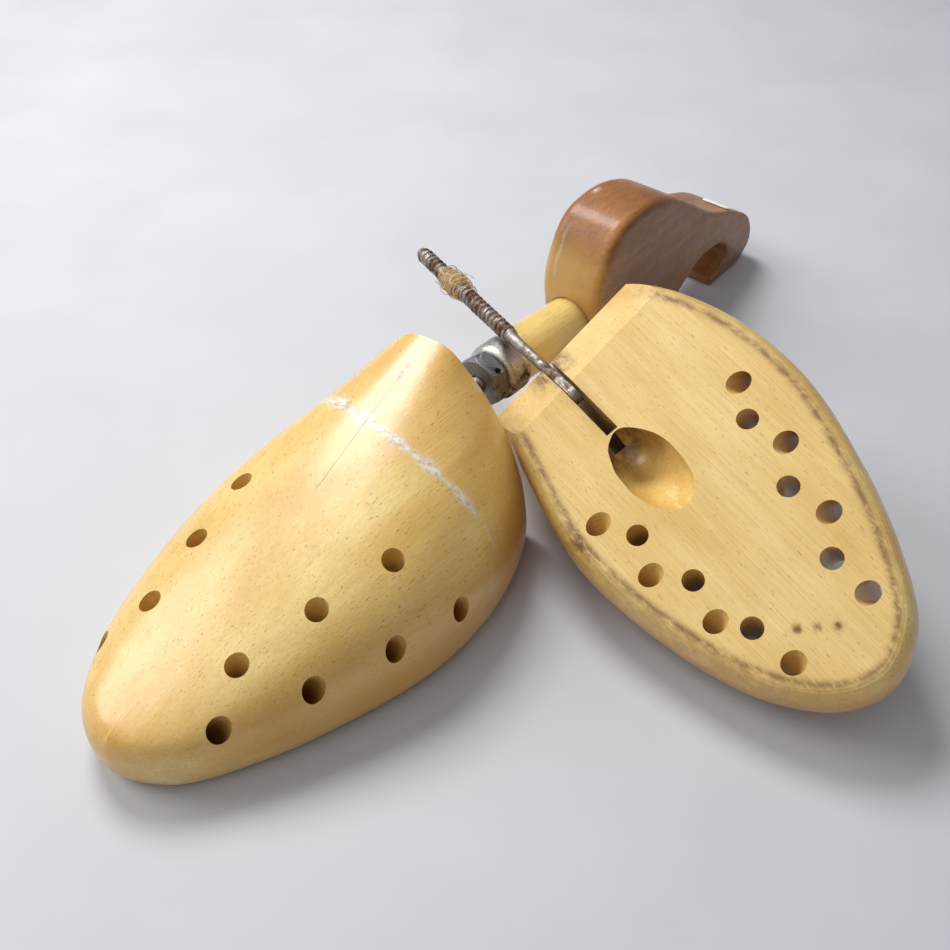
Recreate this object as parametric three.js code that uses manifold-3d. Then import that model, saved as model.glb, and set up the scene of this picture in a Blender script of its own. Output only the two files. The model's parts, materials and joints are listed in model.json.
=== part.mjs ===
// A pair of wooden screw shoe trees, in millimetres, +Z up.
//
// One tree is whole and stands on its sole: forepart, threaded rod, hexagonal nut, ferrule,
// turned neck and hooked heel block. The other is a mirrored forepart lying on its back with
// its rod loose in the slot. Its heel is missing.
//
// Row frame: the origin is the sole datum of the whole tree, +X runs from there to the toe,
// and the sole lies in the plane z = 0. Each forepart is drawn in its own "last" frame: the slot
// lies on y = 0, the rear edge of the sole is near x = 0, and z is the height over the sole.

import * as THREE from 'three';
import { mergeVertices } from 'three/addons/utils/BufferGeometryUtils.js';
import Module from 'manifold-3d';

const wasm = await Module();
wasm.setup();

const { degToRad, lerp, clamp } = THREE.MathUtils;

// ---------------------------------------------------------------- driving dimensions

const gap = 0.3; // running clearance between pieces that would touch

// Forepart
const soleDatum = new THREE.Vector3(75, 5, 0); // in the last frame
const bulgeHeight = 9; // height of the widest line of the forepart
const soleInset = 5.5; // the flat sole stops this far inside the widest line
// The two foreparts were finished by hand: crest height at the rear, and how full the inner side is
const wholeBuild = { instepHeight: 57, innerFullness: 2.5 };
const looseBuild = { instepHeight: 52.5, innerFullness: 2.2 };
const crestSlope = 0.26; // fall of the crest per mm towards the toe
const crestCurl = 3.3e-6; // extra fall near the toe, per cubic mm
const toeCentreX = 112; // the toe is domed about this point of the spine
const rearCutX = -3.3; // where the rear face meets the sole
const rearCutYaw = degToRad(6); // the rear face is cut at a slant across the last
const rearCutLean = degToRad(2.5); // and leans back over the neck
const rearBevelLength = 11;
const rearBevelAngle = degToRad(19);

// Widest outline of the forepart, from the toe round the broad side to the rear and back.
const outlinePoints = [
  [129, 7], [122, 22], [104, 34], [80, 44], [50, 51.3], [20, 49], [-4, 38],
  [-22, 12], [-8, -19], [14, -25.5], [50, -32.8], [84, -28.8], [110, -19.5], [125, -6.5],
];

// Vent holes: each row runs along the sole from one hole to the last, bowed outwards.
// The splay tilts the drill outwards on the way up, from the first hole's angle to the last one's.
const ventRadius = 3.1;
const ventRows = [
  { from: [52.3, 29.2], to: [95.9, 17.8], count: 3, bow: 0, splay: [10, 10] },
  { from: [56.9, -15.0], to: [96.0, -9.7], count: 3, bow: 0, splay: [-2, -2] },
  { from: [42.5, 35.0], to: [108.3, 17.9], count: 4, bow: 2.8, splay: [37, 28] },
  { from: [47.1, -20.8], to: [109.3, -8.1], count: 4, bow: -3.6, splay: [-37, -28] },
];

// Slot for the rod, open through the sole and the rear face, and the spoon-bored hollow
// where it ends.
const slotWidth = 4;
const slotEndX = 28.7;
const slotCeiling = 37;
const hollowRadius = 8.7;
const hollowMiddle = new THREE.Vector3(44.7, 0.6, 0);
const hollowTilt = degToRad(35);
const hollowReach = 14; // how far the bore's axis runs up into the wood

// Rod
const pivot = new THREE.Vector3(22, 0, 30); // hinge pin axis in the last frame
const pinRadius = 1.5;
const pinLength = 24;
const eyeRadius = pinRadius + 0.1;
const tangHeight = 6;
const tangThickness = 3.2;
const tangLength = 12;
const shankRadius = 1.7;
const threadStart = 35; // distances along the rod from the pivot
const threadTurns = 24;
const threadPitch = 2.42;
const threadCrest = 2.8;
const threadRoot = 2.25;
const threadEnd = threadStart + threadTurns * threadPitch;
const rodDroop = degToRad(2.5); // the heel end hangs this much below the sole's plane

// Heel unit, as distances behind the pivot along the rod
const nutFront = 49;
const nutLength = 6.4;
const nutEnd = nutFront + nutLength;
const nutChamfer = 0.9;
const nutCornerRadius = 9.2;
const nutBoltRadius = 1.2; // small blind hole in every flat
const nutBoltDepth = 2.5;
const nutTurn = degToRad(12);
const ferruleFront = nutEnd + gap;
const ferruleLength = 9.4;
const ferruleRadius = 9.6;
const ferruleWall = 0.9;
const neckFront = ferruleFront + ferruleWall + gap;
const neckSpigotRadius = ferruleRadius - ferruleWall - gap;
const neckRadius = 8.9;
const neckWaist = 8.1;
const neckShoulder = 103; // where the neck enters the heel block
const tenonRadius = 6;
const tenonEnd = 141;
const rodBoreRadius = threadCrest + gap;
const rodBoreEnd = 113;
const crossPinDistance = 133;
const crossPinRadius = 1.7;

// Heel block
const heelWidth = 24;
const heelRound = 3.5; // rounding of the long edges of the lobe
const footRound = 1; // rounding of the edges of the tail and underside
// Side outline (x, z), from the foot of the nose over the lobe to the hooked tail and back.
const heelPoints = [
  [-84, 12], [-78.5, 24], [-77, 42], [-86, 58.5], [-101, 62], [-118, 58.5], [-137, 47.5], [-154, 36.5],
  [-174, 28], [-187, 19], [-191, 8], [-184, 1], [-172, 0.6], [-161, 0.8], [-160.5, 3.6], [-167, 5.5],
  [-171.5, 11], [-165, 17.5], [-150, 18.5], [-140.5, 14.5], [-131, 10.5], [-108, 9],
];
const tailMark = { x: -170, y: 4.5, z: 30.1, slope: degToRad(-23), length: 12, width: 3.6, thickness: 0.6 };

// Pose of the second forepart: sole up, and turned towards the whole tree
// Rear of its sole, in the whole tree's last frame
const loosePosition = new THREE.Vector3(-28, 26.6, 47.6);
const looseYaw = degToRad(76);
const loosePitch = degToRad(10.4);
const looseRoll = degToRad(28.4);
const looseRodEndX = 9.5; // the loose rod's eye end, in the second last frame
const looseRodDip = degToRad(14); // its angle to the sole
const looseRodDepth = 5.1; // depth of its eye below the sole

// ---------------------------------------------------------------- solids and booleans

/** Turn a closed three.js geometry into a manifold solid. */
function solid(geometry) {
  const bare = geometry.clone();
  bare.deleteAttribute('normal');
  bare.deleteAttribute('uv');
  const merged = mergeVertices(bare, 1e-4);
  return new wasm.Manifold(new wasm.Mesh({
    numProp: 3,
    vertProperties: new Float32Array(merged.attributes.position.array),
    triVerts: new Uint32Array(merged.index.array),
  }));
}

/** Turn a manifold solid back into a three.js geometry. */
function geometryOf(manifold) {
  const mesh = manifold.getMesh();
  const geometry = new THREE.BufferGeometry();
  geometry.setAttribute('position', new THREE.BufferAttribute(new Float32Array(mesh.vertProperties), 3));
  geometry.setIndex(new THREE.BufferAttribute(new Uint32Array(mesh.triVerts), 1));
  return geometry;
}

function subtract(base, tools) {
  return geometryOf(tools.reduce((rest, tool) => rest.subtract(solid(tool)), solid(base)));
}

function unite(...pieces) {
  return geometryOf(pieces.slice(1).reduce((sum, piece) => sum.add(solid(piece)), solid(pieces[0])));
}

/** Skin a stack of closed rings and cap both ends; flatten puts a ring point on the cap's plane. */
function skin(rings, flatten) {
  const count = rings[0].length;
  const index = [];
  for (let ring = 0; ring + 1 < rings.length; ring += 1) {
    for (let k = 0; k < count; k += 1) {
      const next = (k + 1) % count;
      const [a, b] = [ring * count + k, ring * count + next];
      const [c, d] = [a + count, b + count];
      index.push(a, b, d, a, d, c);
    }
  }
  const capOf = (ring) => THREE.ShapeUtils.triangulateShape(ring.map(flatten), []);
  for (const [a, b, c] of capOf(rings[0])) index.push(c, b, a);
  const lastRing = (rings.length - 1) * count;
  for (const [a, b, c] of capOf(rings.at(-1))) index.push(a + lastRing, b + lastRing, c + lastRing);

  const geometry = new THREE.BufferGeometry();
  const positions = rings.flat().flatMap(({ x, y, z }) => [x, y, z]);
  geometry.setAttribute('position', new THREE.Float32BufferAttribute(positions, 3));
  geometry.setIndex(index);
  return geometry;
}

/** A cylinder from one point to another. */
function cylinderBetween(start, end, radius, segments = 16) {
  const span = new THREE.Vector3().subVectors(end, start);
  const geometry = new THREE.CylinderGeometry(radius, radius, span.length(), segments);
  const upright = new THREE.Vector3(0, 1, 0);
  geometry.applyQuaternion(new THREE.Quaternion().setFromUnitVectors(upright, span.clone().normalize()));
  geometry.translate((start.x + end.x) / 2, (start.y + end.y) / 2, (start.z + end.z) / 2);
  return geometry;
}

/** A cylinder on the rod's line between two distances behind the pivot. */
function alongRod(start, end, radius, segments) {
  return cylinderBetween(new THREE.Vector3(-start, 0, 0), new THREE.Vector3(-end, 0, 0), radius, segments);
}

/** A solid of revolution about the rod's line: profile points are [distance behind the pivot, radius]. */
function turned(profile, segments) {
  const points = profile.map(([distance, radius]) => new THREE.Vector2(radius, distance));
  const geometry = new THREE.LatheGeometry(points, segments);
  geometry.rotateZ(Math.PI / 2); // the lathe's axis now runs backwards from the pivot
  return geometry;
}

// ---------------------------------------------------------------- forepart

const crestFall = (x) => crestSlope * x + crestCurl * x ** 3;

/** The line over which the upper surface arches: towards the middle of the outline. */
function spineY(x) {
  const along = clamp((x + 10) / 67, 0, 1);
  return lerp(-2, 7.5, along);
}

/** The blank of the forepart: flat sole, rounded edge and arched upper. */
function forepartBlank({ instepHeight, innerFullness }) {
  const aroundCount = 64;
  const archRings = [0.985, 0.94, 0.86, 0.74, 0.58, 0.38, 0.16];
  const edgeSteps = 3;
  const curve = new THREE.CatmullRomCurve3(outlinePoints.map(([x, y]) => new THREE.Vector3(x, y, 0)), true);
  const outline = curve.getSpacedPoints(aroundCount).slice(0, aroundCount);
  const spine = outline.map(({ x }) => {
    const spineX = clamp(x, -20, toeCentreX);
    return new THREE.Vector3(spineX, spineY(spineX), 0);
  });

  const rings = [];
  for (let step = 0; step <= edgeSteps; step += 1) {
    const angle = (step / edgeSteps) * (Math.PI / 2);
    rings.push(outline.map((point, k) => {
      const inset = soleInset * (1 - Math.sin(angle));
      const inward = new THREE.Vector3().subVectors(spine[k], point).setLength(inset);
      return point.clone().add(inward).setZ(bulgeHeight * (1 - Math.cos(angle)));
    }));
  }
  for (const reach of archRings) {
    rings.push(outline.map((point, k) => {
      const outerFullness = lerp(1.6, 2.8, clamp((spine[k].x + 10) / 65, 0, 1));
      const fullness = point.y > spine[k].y ? outerFullness : innerFullness;
      const rise = (1 - reach ** fullness) ** (1 / fullness);
      const height = lerp(bulgeHeight, instepHeight - crestFall(spine[k].x), rise);
      return spine[k].clone().lerp(point, reach).setZ(height);
    }));
  }

  return skin(rings, ({ x, y }) => new THREE.Vector2(x, y));
}

/** A large box whose +X face is a cutting plane through the sole at x. */
function rearCutter(lean, x) {
  const size = 160;
  const box = new THREE.BoxGeometry(size, size, size);
  box.translate(-size / 2, 0, 0);
  box.rotateY(-lean);
  box.rotateZ(rearCutYaw);
  box.translate(x, 5, 0);
  return box;
}

function ventHoles() {
  const reach = 80;
  return ventRows.flatMap(({ from, to, count, bow, splay }) => Array.from({ length: count }, (_, i) => {
    const along = i / (count - 1);
    const x = lerp(from[0], to[0], along);
    const y = lerp(from[1], to[1], along) + bow * Math.sin(Math.PI * along);
    const drift = Math.tan(degToRad(lerp(splay[0], splay[1], along)));
    const start = new THREE.Vector3(x, y - 5 * drift, -5);
    const end = new THREE.Vector3(x, y + reach * drift, reach);
    return cylinderBetween(start, end, ventRadius);
  }));
}

function rodSlot() {
  const back = -25;
  const box = new THREE.BoxGeometry(slotEndX - back, slotWidth, slotCeiling + 5);
  box.translate((slotEndX + back) / 2, 0, (slotCeiling - 5) / 2);
  return box;
}

/** The hollow is a round-ended bore drilled at a slant from the toe side. */
function spoonHollow() {
  const length = hollowReach + 30;
  const capsule = new THREE.CapsuleGeometry(hollowRadius, length, 5, 20);
  capsule.rotateZ(Math.PI / 2);
  capsule.translate(length / 2 - hollowReach, 0, 0);
  capsule.rotateY(hollowTilt);
  capsule.translate(hollowMiddle.x, hollowMiddle.y, hollowMiddle.z);
  return capsule;
}

function hingePin(radius, length) {
  const half = new THREE.Vector3(0, length / 2, 0);
  return cylinderBetween(pivot.clone().sub(half), pivot.clone().add(half), radius);
}

function forepart(build) {
  return subtract(forepartBlank(build), [
    rearCutter(rearCutLean, rearCutX),
    rearCutter(Math.PI / 2 - rearBevelAngle, rearCutX + rearBevelLength),
    ...ventHoles(),
    rodSlot(),
    spoonHollow(),
    hingePin(pinRadius + gap, pinLength + 2 * gap),
  ]);
}

// ---------------------------------------------------------------- rod, nut and ferrule
// These are drawn on the rod's line: x runs backwards as the distance behind the pivot grows.

function rod() {
  const profile = [[tangLength - 4, 0], [tangLength - 4, shankRadius], [threadStart - 4, shankRadius]];
  for (let turn = 0; turn < threadTurns; turn += 1) {
    const start = threadStart + turn * threadPitch;
    profile.push([start, threadRoot], [start + threadPitch * 0.5, threadCrest]);
  }
  profile.push([threadEnd, threadRoot], [threadEnd + 1, threadRoot - 0.8], [threadEnd + 1, 0]);
  const screw = turned(profile, 12);

  const outline = new THREE.Shape();
  outline.absarc(0, 0, tangHeight / 2, -Math.PI / 2, Math.PI / 2);
  outline.lineTo(-tangLength + 3, tangHeight / 2);
  outline.lineTo(-tangLength, shankRadius);
  outline.lineTo(-tangLength, -shankRadius);
  outline.lineTo(-tangLength + 3, -tangHeight / 2);
  const options = { depth: tangThickness, bevelEnabled: false, curveSegments: 12 };
  const tang = new THREE.ExtrudeGeometry(outline, options);
  tang.translate(0, 0, -tangThickness / 2);
  tang.rotateX(Math.PI / 2);
  const eye = cylinderBetween(new THREE.Vector3(0, -5, 0), new THREE.Vector3(0, 5, 0), eyeRadius);
  return subtract(unite(screw, tang), [eye]);
}

function hexNut() {
  const flatRadius = nutCornerRadius * Math.cos(Math.PI / 6);
  const hex = new THREE.CylinderGeometry(nutCornerRadius, nutCornerRadius, nutLength, 6);
  hex.rotateZ(Math.PI / 2);
  hex.rotateX(nutTurn);
  const middle = -(nutFront + nutEnd) / 2;
  hex.translate(middle, 0, 0);
  const chamfer = turned([
    [nutFront, 0],
    [nutFront, flatRadius],
    [nutFront + nutChamfer, nutCornerRadius + 0.1],
    [nutEnd - nutChamfer, nutCornerRadius + 0.1],
    [nutEnd, flatRadius],
    [nutEnd, 0],
  ], 24);
  const body = geometryOf(solid(hex).intersect(solid(chamfer)));
  const tools = [alongRod(nutFront - 1, nutEnd + 1, rodBoreRadius, 24)];
  for (let side = 0; side < 6; side += 1) {
    const angle = nutTurn + (side + 0.5) * (Math.PI / 3);
    const outward = new THREE.Vector3(0, Math.sin(angle), Math.cos(angle));
    const start = outward.clone().multiplyScalar(flatRadius - nutBoltDepth).setX(middle);
    const end = outward.clone().multiplyScalar(flatRadius + 2).setX(middle);
    tools.push(cylinderBetween(start, end, nutBoltRadius, 10));
  }
  return subtract(body, tools);
}

function ferrule() {
  const end = ferruleFront + ferruleLength;
  const inner = ferruleRadius - ferruleWall;
  return turned([
    [ferruleFront, rodBoreRadius],
    [ferruleFront, ferruleRadius - 2],
    [ferruleFront + 0.6, ferruleRadius - 0.6],
    [ferruleFront + 2, ferruleRadius],
    [end, ferruleRadius],
    [end, inner],
    [ferruleFront + ferruleWall, inner],
    [ferruleFront + ferruleWall, rodBoreRadius],
    [ferruleFront, rodBoreRadius],
  ], 32);
}

/** The turned neck: spigot in the ferrule, barrel, and a tenon that is pinned in the heel block. */
function neck() {
  const bodyStart = ferruleFront + ferruleLength + gap;
  const blank = turned([
    [neckFront, 0],
    [neckFront, neckSpigotRadius],
    [bodyStart, neckSpigotRadius],
    [bodyStart, neckRadius - 0.5],
    [bodyStart + 8, neckRadius],
    [bodyStart + 17, neckRadius - 0.2],
    [bodyStart + 26, neckWaist + 0.1],
    [neckShoulder, neckWaist],
    [neckShoulder, tenonRadius],
    [tenonEnd, tenonRadius],
    [tenonEnd, 0],
  ], 28);
  const bore = alongRod(neckFront - 5, rodBoreEnd, rodBoreRadius, 16);
  return subtract(blank, [bore, crossPin(gap)]);
}

function crossPin(play) {
  const half = new THREE.Vector3(0, heelWidth / 2 + play, 0);
  const middle = new THREE.Vector3(-crossPinDistance, 0, 0);
  return cylinderBetween(middle.clone().sub(half), middle.clone().add(half), crossPinRadius + play);
}

// ---------------------------------------------------------------- heel block

/** Side outline of the heel block in the last frame: lobe, saddle, hooked tail and finger gap. */
function heelOutline() {
  const sideCount = 72;
  const curve = new THREE.CatmullRomCurve3(heelPoints.map(([x, z]) => new THREE.Vector3(x, 0, z)), true);
  return curve.getSpacedPoints(sideCount).slice(0, sideCount);
}

/** The side outline carried across the width; its long edges round off, less so on the tail. */
function heelBlock() {
  const outline = heelOutline();
  const count = outline.length;
  const inward = outline.map((point, k) => {
    const before = outline[(k + count - 1) % count];
    const tangent = outline[(k + 1) % count].clone().sub(before);
    return new THREE.Vector3(-tangent.z, 0, tangent.x).normalize();
  });
  const roundAt = outline.map(({ x, z }) => {
    const towardTail = clamp((-x - 120) / 60, 0, 1);
    return z < 14 ? footRound : lerp(heelRound, footRound, towardTail);
  });
  const steps = 3;
  const rings = [];
  for (let step = 0; step <= 2 * steps + 1; step += 1) {
    const side = step <= steps ? 1 : -1;
    const angle = (side > 0 ? steps - step : step - steps - 1) * (Math.PI / 2 / steps);
    rings.push(outline.map((point, k) => point.clone()
      .addScaledVector(inward[k], roundAt[k] * (1 - Math.cos(angle)))
      .setY(side * (heelWidth / 2 - roundAt[k] * (1 - Math.sin(angle))))));
  }
  const block = skin(rings, ({ x, z }) => new THREE.Vector2(x, z));
  const socket = alongRod(80, neckShoulder + gap, neckWaist + 2 * gap, 28);
  const mortise = alongRod(90, tenonEnd + gap, tenonRadius + gap, 24);
  return subtract(block, [onRod(socket), onRod(mortise), onRod(crossPin(gap))]);
}

/** A plain light patch across the top of the tail. */
function tailPatch() {
  const { x, y, z, slope, length, width, thickness } = tailMark;
  const shape = new THREE.Shape();
  const half = length / 2 - width / 2;
  shape.absarc(0, half, width / 2, 0, Math.PI);
  shape.absarc(0, -half, width / 2, Math.PI, 2 * Math.PI);
  const patch = new THREE.ExtrudeGeometry(shape, { depth: thickness, bevelEnabled: false, curveSegments: 6 });
  patch.rotateY(slope);
  patch.translate(x, y, z);
  return patch;
}

// ---------------------------------------------------------------- placing

/** Move a piece drawn on the rod's line to the whole tree. */
function onRod(geometry) {
  geometry.rotateY(-rodDroop);
  geometry.translate(pivot.x, pivot.y, pivot.z);
  return geometry;
}

/** Mirror a piece drawn in the first last frame so that its sole faces up. */
function mirrorSoleUp(geometry) {
  geometry.scale(1, 1, -1);
  const index = geometry.index.array;
  for (let i = 0; i < index.length; i += 3) [index[i], index[i + 1]] = [index[i + 1], index[i]];
  return geometry;
}

const loosePose = new THREE.Matrix4()
  .makeTranslation(loosePosition)
  .multiply(new THREE.Matrix4().makeRotationZ(looseYaw))
  .multiply(new THREE.Matrix4().makeRotationY(loosePitch))
  .multiply(new THREE.Matrix4().makeRotationX(looseRoll));

/** The loose rod lies in the slot, its eye end just below the sole. */
function looseRod() {
  const geometry = rod();
  geometry.rotateY(looseRodDip);
  geometry.translate(looseRodEndX, 0, looseRodDepth);
  return geometry;
}

const steel = { color: 0x8a7d72, metalness: 0.9, roughness: 0.5 };
const group = new THREE.Group();

function addNode(name, geometry, look) {
  geometry.translate(-soleDatum.x, -soleDatum.y, -soleDatum.z);
  geometry.computeVertexNormals();
  const mesh = new THREE.Mesh(geometry, new THREE.MeshStandardMaterial(look));
  mesh.name = name;
  group.add(mesh);
}

addNode('forepart', forepart(wholeBuild), { color: 0xd9a55c, roughness: 0.35 });
addNode('hinge_pin', hingePin(pinRadius, pinLength), steel);
addNode('threaded_rod', onRod(rod()), steel);
addNode('hex_nut', onRod(hexNut()), steel);
addNode('ferrule', onRod(ferrule()), { color: 0x6d5346, metalness: 0.8, roughness: 0.6 });
addNode('turned_neck', onRod(neck()), { color: 0xe0bd6e, roughness: 0.4 });
addNode('heel_block', heelBlock(), { color: 0xa9743f, roughness: 0.5 });
addNode('neck_cross_pin', onRod(crossPin(0)), steel);
addNode('tail_patch', tailPatch(), { color: 0xf2f0ea, roughness: 0.6 });
const looseForepart = mirrorSoleUp(forepart(looseBuild)).applyMatrix4(loosePose);
addNode('second_forepart', looseForepart, { color: 0xe8cf9a, roughness: 0.6 });
addNode('second_hinge_pin', mirrorSoleUp(hingePin(pinRadius, pinLength)).applyMatrix4(loosePose), steel);
addNode('second_rod', mirrorSoleUp(looseRod()).applyMatrix4(loosePose), steel);

export default group;
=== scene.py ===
"""A pair of old beech screw shoe trees: one whole on its sole, one on its back with its rod loose.

Each detailed piece is drawn in the local frame of the CAD piece that it stands for. In a "last"
frame the slot lies on y = 0, the rear edge of the sole is near x = 0 and the sole is z = 0. In the
"rod" frame x runs from the hinge pin along the rod, away from the toe. Lengths are in metres.
"""

import json
import math

import bmesh
import bpy
import numpy as np
from mathutils import Matrix, Vector

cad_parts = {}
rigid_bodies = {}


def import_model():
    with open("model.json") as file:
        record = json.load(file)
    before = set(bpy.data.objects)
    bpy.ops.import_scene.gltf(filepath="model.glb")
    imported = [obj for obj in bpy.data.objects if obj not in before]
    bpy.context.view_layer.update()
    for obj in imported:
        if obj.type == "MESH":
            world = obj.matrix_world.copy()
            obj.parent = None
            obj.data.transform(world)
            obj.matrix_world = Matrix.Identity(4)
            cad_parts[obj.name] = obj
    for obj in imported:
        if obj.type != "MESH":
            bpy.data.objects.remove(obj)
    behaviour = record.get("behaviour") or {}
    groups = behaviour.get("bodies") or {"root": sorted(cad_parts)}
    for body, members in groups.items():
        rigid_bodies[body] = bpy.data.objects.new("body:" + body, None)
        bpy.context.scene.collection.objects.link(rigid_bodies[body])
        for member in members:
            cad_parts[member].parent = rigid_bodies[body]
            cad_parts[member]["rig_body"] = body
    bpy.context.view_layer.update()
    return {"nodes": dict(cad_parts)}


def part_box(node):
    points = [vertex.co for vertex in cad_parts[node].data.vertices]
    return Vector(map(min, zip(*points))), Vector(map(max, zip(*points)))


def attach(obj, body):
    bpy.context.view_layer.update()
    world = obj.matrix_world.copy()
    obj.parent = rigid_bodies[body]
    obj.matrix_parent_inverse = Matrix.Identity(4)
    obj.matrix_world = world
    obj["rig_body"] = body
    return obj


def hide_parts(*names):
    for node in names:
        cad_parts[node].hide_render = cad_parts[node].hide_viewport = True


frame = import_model()
MM = 0.001
SEED = 7


# ------------------------------------------------------------------ frames


def node_centre(node):
    low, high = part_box(node)
    return (Vector(low) + Vector(high)) / 2


pivot = Vector((22, 0, 30)) * MM  # hinge pin's middle in the last frame
last_frame = Matrix.Translation(node_centre("hinge_pin") - pivot)
rod_droop = math.radians(2.5)
loose_place = Vector((-28, 26.6, 47.6)) * MM  # rear of the second sole, in the whole tree's last frame
loose_yaw = math.radians(76)
loose_pitch = math.radians(10.4)
loose_roll = math.radians(28.4)
loose_rod_eye = Vector((9.5, 0, -5.1)) * MM  # in the second last frame
loose_rod_dip = math.radians(14)
rod_frame = (
    last_frame
    @ Matrix.Translation(pivot)
    @ Matrix.Rotation(math.pi, 4, "Z")
    @ Matrix.Rotation(rod_droop, 4, "Y")
)
loose_frame = (
    last_frame
    @ Matrix.Translation(loose_place)
    @ Matrix.Rotation(loose_yaw, 4, "Z")
    @ Matrix.Rotation(loose_pitch, 4, "Y")
    @ Matrix.Rotation(loose_roll, 4, "X")
)
loose_rod_frame = (
    loose_frame
    @ Matrix.Translation(loose_rod_eye)
    @ Matrix.Rotation(math.pi, 4, "Z")
    @ Matrix.Rotation(loose_rod_dip, 4, "Y")
)


# ------------------------------------------------------------------ mesh helpers


def mesh_object(name, points, faces, smooth=True):
    mesh = bpy.data.meshes.new(name)
    mesh.from_pydata([tuple(p) for p in points], [], faces)
    mesh.validate()
    mesh.update()
    if smooth:
        mesh.shade_smooth()
    obj = bpy.data.objects.new(name, mesh)
    bpy.context.scene.collection.objects.link(obj)
    return obj


def skin_faces(ring_count, around, close_ends=True):
    """Quads between stacked closed rings, with an n-gon on each end."""
    faces = []
    for ring in range(ring_count - 1):
        for k in range(around):
            a = ring * around + k
            b = ring * around + (k + 1) % around
            faces.append((a, b, b + around, a + around))
    if close_ends:
        faces.append(tuple(range(around))[::-1])
        faces.append(tuple(range((ring_count - 1) * around, ring_count * around)))
    return faces


def place(obj, matrix, body, slot, *nodes):
    """Put a piece where it belongs, make it ride on its body and stand for its CAD nodes.

    Its materials read the attribute local, the vertex positions in the piece's own frame.
    """
    co = np.zeros(len(obj.data.vertices) * 3, np.float32)
    obj.data.vertices.foreach_get("co", co)
    obj.data.attributes.new("local", "FLOAT_VECTOR", "POINT").data.foreach_set("vector", co)
    obj.data.transform(matrix)
    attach(obj, body)
    if nodes:
        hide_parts(*nodes)
    return obj


def apply_modifiers(obj):
    graph = bpy.context.evaluated_depsgraph_get()
    shown = bpy.data.meshes.new_from_object(obj.evaluated_get(graph))
    obj.modifiers.clear()
    obj.data = shown
    obj.data.set_sharp_from_angle(angle=math.radians(32))
    return obj


def cut(obj, cutters):
    """Subtract each cutter from the object."""
    for cutter in cutters:
        modifier = obj.modifiers.new("cut", "BOOLEAN")
        modifier.object = cutter
        modifier.operation = "DIFFERENCE"
        modifier.solver = "EXACT"
    apply_modifiers(obj)
    for cutter in cutters:
        bpy.data.objects.remove(cutter)
    return obj


def closed_spline(points, count):
    """Points evenly spaced along a closed Catmull-Rom curve."""
    points = np.array(points, float)
    total = len(points)
    t = np.linspace(0, 1, 24, endpoint=False)[:, None]
    stretches = []
    for k in range(total):
        p0, p1, p2, p3 = (points[(k + i - 1) % total] for i in range(4))
        d01, d12, d23 = (np.linalg.norm(b - a) ** 0.5 for a, b in ((p0, p1), (p1, p2), (p2, p3)))
        m1 = (p1 - p0) / d01 - (p2 - p0) / (d01 + d12) + (p2 - p1) / d12
        m2 = (p2 - p1) / d12 - (p3 - p1) / (d12 + d23) + (p3 - p2) / d23
        m1, m2 = m1 * d12, m2 * d12
        stretches.append(
            p1 + t * m1 + t**2 * (-3 * p1 + 3 * p2 - 2 * m1 - m2) + t**3 * (2 * p1 - 2 * p2 + m1 + m2)
        )
    line = np.concatenate(stretches)
    closed = np.vstack([line, line[:1]])
    lengths = np.concatenate([[0], np.cumsum(np.linalg.norm(np.diff(closed, axis=0), axis=1))])
    wanted = np.linspace(0, lengths[-1], count, endpoint=False)
    return np.stack([np.interp(wanted, lengths, closed[:, i]) for i in range(points.shape[1])], axis=1)


def smoothstep(low, high, value):
    t = np.clip((value - low) / (high - low), 0, 1)
    return t * t * (3 - 2 * t)


def paint(obj, name, values):
    """Store one number per vertex, which a material reads by name."""
    attribute = obj.data.attributes.new(name, "FLOAT", "POINT")
    attribute.data.foreach_set("value", np.asarray(values, np.float32))


def spot(points, x, y, half_length, half_width):
    """A soft round mark seen from above: 1 at its middle, fading to 0."""
    along = (points[:, 0] - x) / half_length
    across = (points[:, 1] - y) / half_width
    return np.exp(-(along**2 + across**2))


def vertices_mm(obj):
    co = np.zeros(len(obj.data.vertices) * 3)
    obj.data.vertices.foreach_get("co", co)
    return co.reshape(-1, 3) / MM


# ------------------------------------------------------------------ material helpers


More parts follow.
